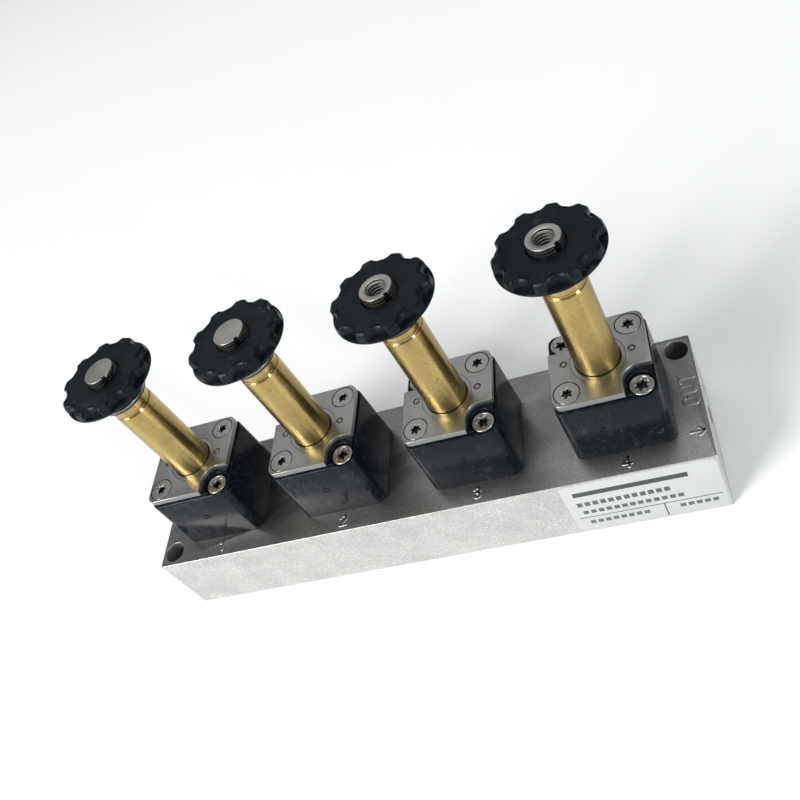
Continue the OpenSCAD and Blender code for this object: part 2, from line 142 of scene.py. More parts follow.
def spin(profile, closed=True, steps=96, shape=None):
    # a profile of (radius, z) goes round z; shape may change a point at an angle
    points, faces = [], []
    rows = len(profile)
    for turn in range(steps):
        angle = 2 * math.pi * turn / steps
        for k, (radius, z) in enumerate(profile):
            if shape:
                radius, z = shape(angle, k, radius, z)
            points.append((radius * math.cos(angle), radius * math.sin(angle), z))
    for turn in range(steps):
        here, there = turn * rows, (turn + 1) % steps * rows
        for k in range(rows if closed else rows - 1):
            following = (k + 1) % rows
            faces.append((here + k, there + k, there + following, here + following))
    return meshOf(points, faces)


def loft(rings):
    # closed rings of (x, y, z) with the same number of points, capped at both ends
    count = len(rings[0])
    points = [p for ring in rings for p in ring]
    faces = [tuple(range(count))[::-1], tuple(range((len(rings) - 1) * count, len(rings) * count))]
    for level in range(len(rings) - 1):
        for k in range(count):
            following = (k + 1) % count
            low, high = level * count, (level + 1) * count
            faces.append((low + k, low + following, high + following, high + k))
    return meshOf(points, faces)


def loftInwards(outline, levels):
    # each level is (distance inside the outline, z)
    return loft([[(x, y, z) for x, y in inset(outline, inward)] for inward, z in levels])


def slab(outline, bottom, top, edge, steps=3):
    # an outline raised from bottom to top, with rounded edges
    turns = [math.radians(90 * step / steps) for step in range(steps + 1)]
    levels = [(edge * (1 - math.sin(a)), bottom + edge * (1 - math.cos(a))) for a in turns]
    levels += [(edge * (1 - math.cos(a)), top - edge * (1 - math.sin(a))) for a in turns]
    return loftInwards(outline, levels)


def holeCutter(radius, bottom, top, flare, steps=64):
    # removes a round hole whose mouth at the top is rounded over
    overshoot = 2.0
    profile = [(0, bottom), (radius, bottom), (radius, top - flare)]
    for step in range(1, 5):
        a = math.radians(90 * step / 4)
        profile.append((radius + flare * (1 - math.cos(a)), top - flare + flare * math.sin(a)))
    profile += [(radius + flare, top + overshoot), (0, top + overshoot)]
    return spin(profile, closed=False, steps=steps)


def sixLobeCutter(size, bottom, top):
    # a six-lobe driver recess, a little narrower at its floor
    angles = [2 * math.pi * k / 60 for k in range(60)]
    outline = [(size * (0.8 + 0.2 * math.cos(6 * a)), a) for a in angles]
    levels = ((0.86, bottom), (0.98, top - 0.12), (1.06, top), (1.06, top + 1))
    return loft([[(r * share * math.cos(a), r * share * math.sin(a), z) for r, a in outline]
                 for share, z in levels])


def thread(root, crest, pitch, bottom, turns, gap=None, steps=48):
    # one helical ridge from the root radius to the crest radius; gap is a (start, end)
    # angle in degrees that a keyway leaves out
    section = [(root, -0.46 * pitch), (crest, -0.1 * pitch), (crest, 0.1 * pitch), (root, 0.46 * pitch)]
    runs, run = [], []
    for step in range(int(turns * steps) + 1):
        degrees = 360 * step / steps
        if gap and gap[0] < degrees % 360 < gap[1]:
            if run:
                runs.append(run)
            run = []
            continue
        a = math.radians(degrees)
        z = bottom + pitch * step / steps
        run.append([(r * math.cos(a), r * math.sin(a), z + dz) for r, dz in section])
    runs.append(run)
    return joined([loft(r) for r in runs if len(r) > 1])


def moved(mesh, x=0.0, y=0.0, z=0.0, turn=0.0, tilt=None):
    matrix = Matrix.Translation((x, y, z)) @ Matrix.Rotation(math.radians(turn), 4, "Z")
    if tilt:
        matrix = matrix @ Matrix.Rotation(math.radians(tilt[1]), 4, tilt[0])
    mesh.transform(matrix)
    return mesh


def joined(meshes):
    work = bmesh.new()
    for mesh in meshes:
        work.from_mesh(mesh)
        bpy.data.meshes.remove(mesh)
    mesh = bpy.data.meshes.new("shape")
    work.to_mesh(mesh)
    work.free()
    return mesh


def carve(mesh, cutters):
    # takes the cutters' shapes out of the mesh
    target = bpy.data.objects.new("target", mesh)
    bpy.context.scene.collection.objects.link(target)
    tools = []
    for cutter in cutters:
        tool = bpy.data.objects.new("tool", cutter)
        bpy.context.scene.collection.objects.link(tool)
        step = target.modifiers.new("cut", "BOOLEAN")
        step.operation, step.solver, step.object = "DIFFERENCE", "EXACT", tool
        tools.append(tool)
    shape = target.evaluated_get(bpy.context.evaluated_depsgraph_get())
    result = bpy.data.meshes.new_from_object(shape)
    for thing in [target, *tools]:
        data = thing.data
        bpy.data.objects.remove(thing)
        bpy.data.meshes.remove(data)
    return result


def place(name, mesh, at, body, finish, stands, sharp=38.0):
    # millimetres to metres, then to its place; smooth shading breaks at angles over sharp
    mesh.transform(Matrix.Translation(at) @ Matrix.Scale(mm, 4))
    mesh.name = name
    mesh.materials.clear()
    mesh.materials.append(finish)
    mesh.polygons.foreach_set("use_smooth", [True] * len(mesh.polygons))
    mesh.polygons.foreach_set("material_index", [0] * len(mesh.polygons))
    mesh.set_sharp_from_angle(angle=math.radians(sharp))
    mesh.update()
    piece = bpy.data.objects.new(name, mesh)
    bpy.context.scene.collection.objects.link(piece)
    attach(piece, body)
    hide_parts(*stands)
    return piece


class Wire:
    # a socket that takes arithmetic
    def __init__(self, tree, socket):
        self.tree, self.socket = tree, socket

    def maths(self, operation, first, second):
        node = self.tree.nodes.new("ShaderNodeMath")
        node.operation = operation
        for slot, value in zip(node.inputs, (first, second)):
            if isinstance(value, Wire):
                self.tree.links.new(value.socket, slot)
            else:
                slot.default_value = value
        return Wire(self.tree, node.outputs[0])

    def __add__(self, other):
        return self.maths("ADD", self, other)

    def __sub__(self, other):
        return self.maths("SUBTRACT", self, other)

    def __rsub__(self, other):
        return self.maths("SUBTRACT", other, self)

    def __mul__(self, other):
        return self.maths("MULTIPLY", self, other)

    def __mod__(self, other):
        return self.maths("MODULO", self, other)

    def __gt__(self, other):
        return self.maths("GREATER_THAN", self, other)

    def __lt__(self, other):
        return self.maths("LESS_THAN", self, other)

    __radd__ = __add__
    __rmul__ = __mul__


class Finish:
    # a material while it is being made
    def __init__(self, name, fixed):
        self.material = bpy.data.materials.new(name)
        self.material.use_nodes = True
        self.tree = self.material.node_tree
        self.shader = self.tree.nodes["Principled BSDF"]
        for socket, value in fixed.items():
            self.shader.inputs[socket].default_value = value
        self.spot = self.add("ShaderNodeTexCoord", out="Object")

    def feed(self, slot, value):
        if isinstance(value, Wire):
            self.tree.links.new(value.socket, slot)
        else:
            slot.default_value = value

    def add(self, kind, settings=None, sockets=None, out=0):
        node = self.tree.nodes.new(kind)
        for name, value in (settings or {}).items():
            if name == "stops":
                while len(node.color_ramp.elements) < len(value):
                    node.color_ramp.elements.new(0.5)
                for element, (position, shade) in zip(node.color_ramp.elements, value):
                    element.position, element.color = position, (shade, shade, shade, 1)
            else:
                setattr(node, name, value)
        for name, value in (sockets or {}).items():
            self.feed(node.inputs[name], value)
        return Wire(self.tree, node.outputs[out])

    def along(self, axis):
        # millimetres along x, y or z, given as 0, 1 or 2
        return self.add("ShaderNodeSeparateXYZ", None, {0: self.spot}, axis) * perMetre

    def facingUp(self):
        normal = self.add("ShaderNodeNewGeometry", None, None, "Normal")
        return self.add("ShaderNodeSeparateXYZ", None, {0: normal}, 2)

    def stretched(self, factors):
        return self.add("ShaderNodeVectorMath", {"operation": "MULTIPLY"}, {0: self.spot, 1: factors})

    def noise(self, size, detail=3.0, rough=0.5, stretch=None, bend=0.0):
        # a cloud pattern whose blobs are about size millimetres across
        spot = self.stretched(stretch) if stretch else self.spot
        return self.add("ShaderNodeTexNoise", None, {
            "Vector": spot, "Scale": perMetre / size, "Detail": detail, "Roughness": rough,
            "Distortion": bend})

    def cells(self, size, out="Distance"):
        return self.add("ShaderNodeTexVoronoi", None, {"Vector": self.spot, "Scale": perMetre / size}, out)

    def ramp(self, value, *stops):
        return self.add("ShaderNodeValToRGB", {"stops": stops}, {0: value})

    def tint(self, share, low, high):
        # inputs 6 and 7 of a Mix node are its two colours, and output 2 their mix
        low, high = ((*c, 1) if isinstance(c, tuple) else c for c in (low, high))
        return self.add("ShaderNodeMix", {"data_type": "RGBA"}, {0: share, 6: low, 7: high}, 2)

    def bump(self, height, depth, strength):
        # depth in millimetres
        return self.add("ShaderNodeBump", None, {
            "Height": height, "Distance": depth * mm, "Strength": strength})

    def scratches(self, size, width, share, bend=1.5):
        # thin curved lines, kept to patches that cover about share of the surface
        lines = self.noise(size, 1.0, 0.4, None, bend)
        near = self.ramp(lines, (0.5 - width, 0), (0.5, 1), (0.5 + width, 0))
        patch = self.ramp(self.noise(size * 1.3, 1.0), (0.6 - share, 0), (0.68 - share, 1))
        return near * patch

    def height(self):
        # millimetres above the valve bodies' foot
        return self.along(2) - footZ / mm

    def fromAxis(self, dx=0.0, dy=0.0):
        # squared distance from a line that stands dx, dy millimetres off the nearest station's axis
        first, pitch = axisOf(1).x / mm, (axisOf(2).x - axisOf(1).x) / mm
        x = (self.along(0) - (first - 1.5 * pitch)) % pitch - (pitch / 2 + dx)
        y = self.along(1) - dy
        return x * x + y * y

    def done(self, **sockets):
        names = {"colour": "Base Color", "rough": "Roughness", "normal": "Normal"}
        for name, value in sockets.items():
            self.feed(self.shader.inputs[names[name]], value)
        return self.material


screwShape = {
    "flatXY": 9.85, "capX": 10.3, "capY": 10.6, "shank": 2.0, "flatHead": 3.75, "capHead": 3.5,
    "capTop": 23.0, "capHeight": 4.0, "flatLobe": 1.85, "capLobe": 2.2, "capDish": 2.65,
}

# each finish: its darker and its lighter colour, and its roughness
finishLook = {
    "plateNickel": ((0.30, 0.296, 0.28), (0.48, 0.47, 0.45), 0.30),
    "collarSteel": ((0.31, 0.305, 0.29), (0.47, 0.46, 0.44), 0.30),
    "screwSteel": ((0.36, 0.355, 0.34), (0.52, 0.51, 0.49), 0.30),
    "capScrewSteel": ((0.32, 0.325, 0.31), (0.47, 0.47, 0.45), 0.30),
    "shadedWasherSteel": ((0.16, 0.157, 0.15), (0.27, 0.263, 0.255), 0.24),
    "drawnBrass": ((0.25, 0.177, 0.06), (0.62, 0.47, 0.183), 0.17),
    "coreSteel": ((0.36, 0.345, 0.325), (0.56, 0.54, 0.51), 0.36),
    "bodyPlastic": ((0.0035, 0.0052, 0.0078), (0.006, 0.0084, 0.012), 0.20),
    "nutPlastic": ((0.0030, 0.0048, 0.0066), (0.0052, 0.0079, 0.0102), 0.34),
    "blackRubber": ((0.008, 0.008, 0.008), (0.028, 0.027, 0.026), 0.55),
    "seatBrass": ((0.52, 0.38, 0.14), (0.72, 0.55, 0.24), 0.25),
    "ringCopper": ((0.55, 0.24, 0.13), (0.78, 0.42, 0.26), 0.25),
    "armatureSteel": ((0.40, 0.40, 0.39), (0.58, 0.58, 0.56), 0.22),
    "springSteel": ((0.50, 0.50, 0.50), (0.70, 0.70, 0.69), 0.20),
}
wearAndShadeLook = {  # colours that use leaves, and colours of painted shade
    "spot": (0.12, 0.11, 0.10), "pit": (0.10, 0.095, 0.09), "tarnish": (0.24, 0.16, 0.055),
    "shadeBelow": (0.012, 0.012, 0.012), "gap": (0.01, 0.01, 0.01), "tubeFootShade": (0.012, 0.010, 0.008),
    "threadShade": (0.018, 0.017, 0.016), "scratch": (0.11, 0.115, 0.12), "smear": (0.13, 0.135, 0.14),
    "cutEdge": (0.27, 0.278, 0.282),
}
blockLook = {
    "face": (0.33, 0.33, 0.322), "faceLight": (0.84, 0.84, 0.82),
    "top": (0.140, 0.147, 0.158), "topLight": (0.37, 0.362, 0.348), "glint": (0.52, 0.51, 0.50),
    "hole": (0.26, 0.27, 0.29), "grain": 0.42, "speck": 0.30, "sideRough": 0.46, "topRough": 0.23,
}


def castAluminium():
    # blasted sides with bright crystal specks painted lighter as glints, and a smoother cast top painted
    # darker as shade
    f = Finish("castAluminium", {"Metallic": 0.94, "Specular IOR Level": 0.5})
    look = blockLook
    grain = f.noise(look["grain"], 4, 0.62)
    blotch = f.noise(9, 4, 0.6)
    # painted glints: the crystal specks are lighter in colour and smoother
    glintSpecks = f.ramp(f.cells(look["speck"], "Color"), (0.72, 0), (0.86, 1))
    up = f.facingUp()
    # painted shade: the top gets darker colours than the sides
    isTop = f.ramp(up, (0.7, 0), (0.9, 1))
    side = f.tint(grain + blotch * 0.5 + glintSpecks * 0.35 - 0.3, look["face"], look["faceLight"])
    top = f.tint(blotch * 0.7 + grain * 0.9 - 0.32, look["top"], look["topLight"])
    top = f.tint(glintSpecks * 0.16, top, look["glint"])
    colour = f.tint(isTop, side, top)
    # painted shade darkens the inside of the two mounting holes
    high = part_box("manifold_block")[1]
    inX, inY = blockShape["mountInset"]
    reach = Vector((high.x - inX * mm, high.y - inY * mm, 0))
    for sign in (-1, 1):
        away = f.add("ShaderNodeVectorMath", {"operation": "DISTANCE"},
                     {0: f.stretched((1, 1, 0)), 1: reach * sign}, "Value")
        inHole = away * perMetre < blockShape["mountHole"] + 0.12
        colour = f.tint(inHole * 0.85, colour, look["hole"])
    drag = f.noise(1.2, 3, 0.6, (0.08, 1, 1))
    rough = look["sideRough"] + isTop * (look["topRough"] - look["sideRough"]) + grain * 0.16 - glintSpecks * 0.06
    relief = grain * 0.8 + blotch * 0.6 + drag * 0.3
    return f.done(colour=colour, rough=rough, normal=f.bump(relief, 0.028, 0.7))


def nickelSteel(name, brush=(0.1, 1, 1), shadeBelow=None, cutEdges=False):
    # plated steel: faint rolling lines, small stains and pin spots; painted shade darkens what lies
    # lower than the given height, in millimetres above the valve body's foot
    shade, light, rough = finishLook[name]
    f = Finish(name, {"Metallic": 1.0})
    lines = f.noise(0.5, 3, 0.6, brush)
    stain = f.noise(5, 4, 0.62)
    spots = f.ramp(f.cells(1.7), (0.04, 1), (0.1, 0))
    scratch = f.scratches(7, 0.006, 0.12)
    colour = f.tint(stain * 0.9 + lines * 0.4 - 0.15, shade, light)
    colour = f.tint(spots * f.ramp(stain, (0.5, 0), (0.62, 0.6)), colour, wearAndShadeLook["spot"])
    # painted shade in the gaps and recesses below that height
    if shadeBelow:
        colour = f.tint((f.height() < shadeBelow) * 0.9, colour, wearAndShadeLook["shadeBelow"])
    rough = rough + stain * 0.14 + scratch * 0.2 - 0.05
    if cutEdges:
        up = f.facingUp()
        isEdge = f.ramp(up, (0.1, 1), (0.35, 0))
        colour = f.tint(isEdge, colour, wearAndShadeLook["cutEdge"])
        # painted shade in the gap round each countersunk head
        for side in (-screwShape["flatXY"], screwShape["flatXY"]):
            near = f.fromAxis(side, side) < (screwShape["flatHead"] + 0.55) ** 2
            colour = f.tint(near * f.ramp(up, (0.75, 1), (0.93, 0)), colour, wearAndShadeLook["gap"])
        rough = rough + isEdge * 0.14
    relief = lines * 0.35 + stain * 0.8 - scratch * 0.3
    return f.done(colour=colour, rough=rough, normal=f.bump(relief, 0.007, 0.6))


def drawnBrass():
    # a drawn tube: lengthwise lines, brown tarnish in clouds, shallow knocks
    shade, light, rough = finishLook["drawnBrass"]
    f = Finish("drawnBrass", {"Metallic": 1.0, "Anisotropic": 0.9, "Anisotropic Rotation": 0.25})
    lines = f.noise(0.35, 3, 0.6, (1, 1, 0.04))
    cloud = f.noise(6, 5, 0.6, (1, 1, 0.5))
    mottle = f.noise(1.3, 4, 0.6)
    knocks = f.ramp(f.noise(3.2, 2, 0.5, (1, 1, 0.6)), (0.3, 0), (0.5, 1))
    colour = f.tint(cloud * 0.8 + lines * 0.3 - 0.05, shade, light)
    colour = f.tint(f.ramp(mottle, (0.54, 0), (0.76, 0.6)), colour, wearAndShadeLook["tarnish"])
    # painted shade lines the gap where the tube enters its collar
    atFoot = f.height() < spanOf("tube_collars")[1] + 0.1
    colour = f.tint(atFoot * 0.92, colour, wearAndShadeLook["tubeFootShade"])
    return f.done(colour=colour, rough=rough + cloud * 0.1 + mottle * 0.08,
                  normal=f.bump(knocks * 0.9 + lines * 0.1 + mottle * 0.14, 0.028, 0.75))


def turnedSteel(name):
    # lathe-turned stainless: rings about the z axis and a matt, streaky face
    shade, light, rough = finishLook[name]
    f = Finish(name, {"Metallic": 1.0, "Anisotropic": 0.3})
    streak = f.noise(0.8, 4, 0.6, (1, 0.25, 1))
    cloud = f.noise(3, 4, 0.6)
    pits = f.ramp(f.noise(0.5, 2, 0.6), (0.66, 0), (0.74, 1))
    up = f.facingUp()
    flank = f.ramp(up, (0.45, 1), (0.66, 0)) * 0.8
    low = f.height() < spanOf("fixed_core_1")[1] - 0.35
    threadRadius, boreRadius = 4.0, 2.9
    outside, inside = f.fromAxis() > threadRadius ** 2, f.fromAxis() < boreRadius ** 2
    hidden = low * (outside * 0.9 + inside * 0.55)
    colour = f.tint(cloud * 0.6 + streak * 0.4, shade, light)
    colour = f.tint(pits * 0.4, colour, wearAndShadeLook["pit"])
    # painted shade darkens the flanks, and the threads and bore below the stem's top
    threadShade = f.add("ShaderNodeMath", {"operation": "MAXIMUM"}, {0: flank, 1: hidden})
    colour = f.tint(threadShade, colour, wearAndShadeLook["threadShade"])
    return f.done(colour=colour, rough=rough + cloud * 0.16 - 0.06,
                  normal=f.bump(streak * 0.6 - pits, 0.02, 0.6))


def mouldedPlastic(name, wear, gloss):
    # fine spark-eroded grain, a slight sheen that drifts, and pale rub marks
    shade, light, rough = finishLook[name]
    f = Finish(name, {"IOR": 1.5, "Specular IOR Level": gloss})
    grain = f.noise(0.12, 2, 0.5)
    drift = f.noise(8, 3, 0.5)
    rub = f.scratches(6, 0.007, wear) + f.scratches(2.3, 0.012, wear * 0.7, 0.6) * 0.6
    # dry smears that handling leaves
    smear = f.ramp(f.noise(5, 6, 0.72, (1, 1, 0.6), 2.0), (0.5, 0), (0.74, 1))
    smear = smear * f.ramp(f.noise(16, 2), (0.42, 0), (0.6, 1))
    colour = f.tint(drift, shade, light)
    colour = f.tint(rub * 0.4, colour, wearAndShadeLook["scratch"])
    colour = f.tint(smear * (wear * 2.2), colour, wearAndShadeLook["smear"])
    return f.done(colour=colour, rough=rough + drift * 0.12 - 0.06 + rub * 0.15 + smear * 0.12,
                  normal=f.bump(grain * 0.4 + drift * 0.8 - rub * 0.4, 0.007, 0.6))


def blackRubber():
    shade, light, rough = finishLook["blackRubber"]
    f = Finish("blackRubber", {"IOR": 1.5})
    bloom = f.noise(2.5, 4, 0.6)
    grain = f.noise(0.1, 2, 0.5)
    return f.done(colour=f.tint(bloom, shade, light), rough=rough + bloom * 0.2,
                  normal=f.bump(grain + bloom * 0.5, 0.01, 0.6))


def plainMetal(name):
    # small inner pieces: a soft cloud, fine lines and a few pits
    shade, light, rough = finishLook[name]
    f = Finish(name, {"Metallic": 1.0})
    cloud = f.noise(2, 4, 0.6)
    lines = f.noise(0.25, 3, 0.6, (1, 1, 0.15))
    pits = f.ramp(f.noise(0.4, 2, 0.6), (0.68, 0), (0.76, 1))
    return f.done(colour=f.tint(cloud * 0.7 + lines * 0.3, shade, light),
                  rough=rough + cloud * 0.15 + pits * 0.1,
                  normal=f.bump(lines * 0.4 + cloud * 0.5 - pits * 0.5, 0.015, 0.6))


# The label's print is bars and rules only: (left, bottom, right, top) in millimetres from
# the label's lower left corner. The finer bars are broken into even blocks.
labelLook = {
    "film": (0.465, 0.475, 0.465), "filmLight": (0.56, 0.57, 0.557), "ink": (0.02, 0.023, 0.027),
    "solid": ((3.2, 19.4, 36.6, 21.7), (1.7, 7.4, 44.0, 7.8), (27.0, 0.6, 27.4, 7.4)),
    "broken": ((3.0, 13.9, 31.1, 16.1), (3.7, 9.6, 33.6, 11.5), (4.3, 3.8, 22.8, 5.6),
               (31.4, 4.0, 43.0, 5.8)),
    "blockPitch": 2.35, "blockWidth": 1.65, "brokenStrength": 0.93, "corner": 2.6,
}


def labelFilm():
    f = Finish("labelFilm", {"IOR": 1.46})
    look = labelLook
    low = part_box("rating_label")[0]
    across = f.along(0) - low.x / mm
    height = f.along(2) - low.z / mm

    def inside(left, bottom, right, top):
        return (across > left) * (across < right) * (height > bottom) * (height < top)

    ink = 0.0
    for area in look["solid"]:
        ink = ink + inside(*area)
    for area in look["broken"]:
        block = (across - area[0]) % look["blockPitch"]
        ink = ink + inside(*area) * (block < look["blockWidth"]) * look["brokenStrength"]
    fade = f.ramp(f.noise(0.35, 3, 0.6), (0.3, 0.86), (0.6, 1))
    soil = f.noise(7, 4, 0.6)
    paper = f.tint(soil, look["film"], look["filmLight"])
    return f.done(colour=f.tint(ink * fade, paper, look["ink"]),
                  rough=0.42 + soil * 0.12 - ink * 0.08, normal=f.bump(soil + f.noise(0.3, 2), 0.01, 0.5))


plateTop, collarTop = spanOf("retaining_plate_1")[1], spanOf("tube_collars")[1]
plateNickel = nickelSteel("plateNickel", cutEdges=True)
collarSteel = nickelSteel("collarSteel", (1, 0.1, 1), collarTop - 0.02)
screwSteel = nickelSteel("screwSteel", (1, 1, 0.2), plateTop - 0.55)
capScrewSteel = nickelSteel("capScrewSteel", (1, 1, 0.2), screwShape["capTop"] - 1.3)
# painted shade: the washer under the nut gets darker steel than the others
shadedWasherSteel = nickelSteel("shadedWasherSteel")
brass = drawnBrass()
coreSteel = turnedSteel("coreSteel")
bodyPlastic = mouldedPlastic("bodyPlastic", 0.12, 0.12)
nutPlastic = mouldedPlastic("nutPlastic", 0.05, 0.13)
rubber = blackRubber()
film = labelFilm()
seatBrass, ringCopper = plainMetal("seatBrass"), plainMetal("ringCopper")
armatureSteel, springSteel = plainMetal("armatureSteel"), plainMetal("springSteel")
print("finishes made")


blockShape = {
    "edge": 0.3, "corner": 0.8, "rim": 0.3,
    "mountHole": 3.5, "portMajor": 6.58, "portMinor": 5.9, "portPitch": 1.337, "portDepth": 13.0,
    "gallery": 4.0, "galleryEnd": 12.0, "portHeight": 12.0, "supplyY": -3.5, "outletY": 6.2,
    "mountInset": (4.6, 5.1), "markHeight": 0.18, "markWidth": 0.85,
    "numeralY": -18.6, "numeralShift": -0.4, "wordInset": 3.5, "wordY": -2.4,
    "arrowInset": 3.2, "arrowY": -13.3,
}

aluminium = castAluminium()

# each mark is a list of strokes, and each stroke a list of (x, y) points in millimetres
numerals = {
    1: [[(-0.9, 0.9), (0, 1.7)], [(0, 1.7), (0, -1.7)]],
    2: [arc((0, 0.7), 1, 170, -30, 12), [(0.87, 0.2), (-1, -1.7)], [(-1, -1.7), (1.1, -1.7)]],
    3: [arc((0, 0.85), 0.85, 160, -90, 12), arc((0, -0.85), 0.85, 90, -160, 12)],
    4: [[(0.4, 1.7), (0.4, -1.7)], [(0.4, 1.7), (-1.2, -0.6)], [(-1.2, -0.6), (1.2, -0.6)]],
}
outletWord = [
    [(1.2, 0.9), *arc((0, 0.9), 1.2, 15, 180, 10), *arc((0, -0.9), 1.2, 180, 360, 12), (1.2, 0.8)],
    [(3.1, 2.1), *arc((4.3, -0.9), 1.2, 180, 360, 12), (5.5, 2.1)],
    [(8.5, 1.9), (8.5, -2.1)], [(6.9, 2.1), (10.1, 2.1)],
]
flowArrow = [[(-2.2, 0), (1.6, 0)], [(0.2, 1.3), (1.6, 0)], [(0.2, -1.3), (1.6, 0)]]


def raisedStroke(line, width, height):
    # a raised bead along a line of points, with round ends and a soft top
    half = width / 2
    points = [Vector(p) for p in line]
    left, right = [], []
    for k, here in enumerate(points):
        ahead = (points[k + 1] - here).normalized() if k + 1 < len(points) else None
        back = (here - points[k - 1]).normalized() if k else None
        way = ((ahead or back) + (back or ahead)).normalized()
        side = Vector((-way.y, way.x))
        reach = half / max(0.45, side.dot(Vector((-(ahead or back).y, (ahead or back).x))))
        left.append(here + side * reach)
        right.append(here - side * reach)
    first, last = (points[1] - points[0]), (points[-1] - points[-2])
    startAngle = math.degrees(math.atan2(first.y, first.x))
    endAngle = math.degrees(math.atan2(last.y, last.x))
    outline = [tuple(p) for p in right[1:-1]]
    outline = arc(points[0], half, startAngle + 90, startAngle + 270, 6) + outline
    outline += arc(points[-1], half, endAngle - 90, endAngle + 90, 6)
    outline += [tuple(p) for p in left[1:-1]][::-1]
    rings = [(-0.1, -0.4), (-0.1, 0.0), (0.02, height * 0.8), (0.06, height * 0.95), (0.12, height)]
    return loftInwards(outline, rings)


def markSet(lines, x, y, turn=0.0):
    beads = [raisedStroke(line, blockShape["markWidth"], blockShape["markHeight"]) for line in lines]
    return moved(joined(beads), x, y, 0, turn)


def buildBlock():
    s = blockShape
    low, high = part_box("manifold_block")
    length, width = (high.x - low.x) / mm, (high.y - low.y) / mm
    depth = footZ / mm
    outline = softCorners([(x * length / 2, y * width / 2, s["corner"])
                           for x, y in ((-1, -1), (1, -1), (1, 1), (-1, 1))])
    block = slab(outline, -depth, 0, s["edge"])
    portZ = s["portHeight"] - depth
    cutters = []
    for side in (-1, 1):
        x, y = length / 2 - s["mountInset"][0], width / 2 - s["mountInset"][1]
        upper = holeCutter(s["mountHole"], -depth / 2, 0, s["rim"])
        lower = moved(holeCutter(s["mountHole"], -depth / 2 - 0.5, 0, s["rim"]), tilt=("X", 180), z=-depth)
        cutters += [moved(upper, side * x, side * y), moved(lower, side * x, side * y)]
    threads = []
    for side, y in ((-1, s["supplyY"]), (1, s["outletY"])):
        tilt = ("Y", 90 * side)
        port = holeCutter(s["portMajor"], -s["portDepth"], 0, 0.5)
        gallery = holeCutter(s["gallery"], -length + s["galleryEnd"], -s["portDepth"] + 0.5, 0.8)
        for cutter in (port, gallery):
            cutters.append(moved(cutter, side * length / 2, y, portZ, tilt=tilt))
        turns = (s["portDepth"] - 2.2) / s["portPitch"]
        ridge = thread(s["portMajor"] + 0.06, s["portMinor"], s["portPitch"], -s["portDepth"] + 0.9, turns)
        threads.append(moved(ridge, side * length / 2, y, portZ, tilt=tilt))
    block = carve(block, cutters)
    marks = []
    for n in stations:
        marks.append(markSet(numerals[n], axisOf(n).x / mm + s["numeralShift"], s["numeralY"]))
    marks.append(markSet(outletWord, length / 2 - s["wordInset"], s["wordY"], 90))
    marks.append(markSet(flowArrow, length / 2 - s["arrowInset"], s["arrowY"]))
    block = joined([block, *threads, *marks])
    place("manifoldBlock", block, Vector((0, 0, footZ)), manifold, aluminium,
          ["manifold_block"], 32)


def buildLabel():
    low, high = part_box("rating_label")
    width, height = (high.x - low.x) / mm, (high.z - low.z) / mm
    thick = (high.y - low.y) / mm
    corner = labelLook["corner"]
    outline = softCorners([(x, y, corner) for x, y in ((0, 0), (width, 0), (width, height), (0, height))],
                          steps=8)
    sheet = slab(outline, 0, thick, thick * 0.4, steps=2)
    moved(sheet, tilt=("X", 90))
    place("ratingLabel", sheet, Vector((low.x, high.y, low.z)), manifold, film,
          ["rating_label"], 60)


buildBlock()
buildLabel()
print("block and label built")


bodyShape = {
    "corner": 3.2, "topInset": 0.35, "rebateHeight": 1.0, "rebateDepth": 0.85,
    "chamber": 6.6, "chamberFloor": 11.0, "pocket": 9.0, "pocketFloor": 19.0, "passage": 1.2, "passageY": 5.2,
    "seatBore": 3.5, "seatFloor": 6.0, "gasketWidth": 27.0, "gasketDepth": 1.0,
    "screwPocket": 3.95, "screwPocketFloor": 18.9, "screwHole": 2.25,
    "markZ": 12.2, "markRadii": (1.15, 0.7), "markSpan": (-0.3, 0.16),
    "markX": {1: 0.5, 2: -0.5, 3: 0.2, 4: -3.8},
}
plateShape = {
    "corner": 2.8, "notchX": 5.8, "notchY": 5.3, "notchFillet": 5.0, "edge": 0.2, "hole": 8.0, "collar": 7.92,
    "sinkGap": 0.2, "stakeX": 9.8, "stakeY": 0.6, "stake": 1.1,
}


def buildBody():
    b, s = bodyShape, screwShape
    width = widthOf("valve_body_1")
    top = spanOf("valve_body_1")[1]
    ledge, taper, step = top - b["rebateHeight"], b["topInset"], b["rebateDepth"]
    levels = [(0.25, 0), (0.07, 0.07), (0, 0.25)]
    levels += [(taper + x, ledge - z) for x, z in ((0, 0.5), (0.06, 0.26), (0.22, 0.08), (0.45, 0))]
    levels += [(taper + step, ledge), (taper + step, top)]
    outline = roundedSquare(width, b["corner"])
    body = loftInwards(outline, levels)
    gasketBed = slab(roundedSquare(b["gasketWidth"], 0.6, 3), -1, b["gasketDepth"], 0.1)
    cutters = [gasketBed,
               holeCutter(b["chamber"], b["chamberFloor"], b["pocketFloor"] + 0.01, 0.3),
               holeCutter(b["pocket"], b["pocketFloor"], top, 0.3),
               holeCutter(b["seatBore"], b["seatFloor"], b["chamberFloor"] + 0.01, 0.1),
               holeCutter(b["passage"], -1, b["seatFloor"] + 0.01, 0.1),
               moved(holeCutter(b["passage"], -1, b["chamberFloor"] + 0.01, 0.1), y=b["passageY"])]
    for side in (-1, 1):
        x, y = side * s["capX"], -side * s["capY"]
        cutters.append(moved(holeCutter(b["screwPocket"], b["screwPocketFloor"], top, 0.3), x, y))
        cutters.append(moved(holeCutter(b["screwHole"], -1, b["screwPocketFloor"] + 0.01, 0.1), x, y))
        cutters.append(moved(holeCutter(s["shank"] + 0.03, top - 12, top, 0.2),
                             side * s["flatXY"], side * s["flatXY"]))
    return carve(body, cutters)


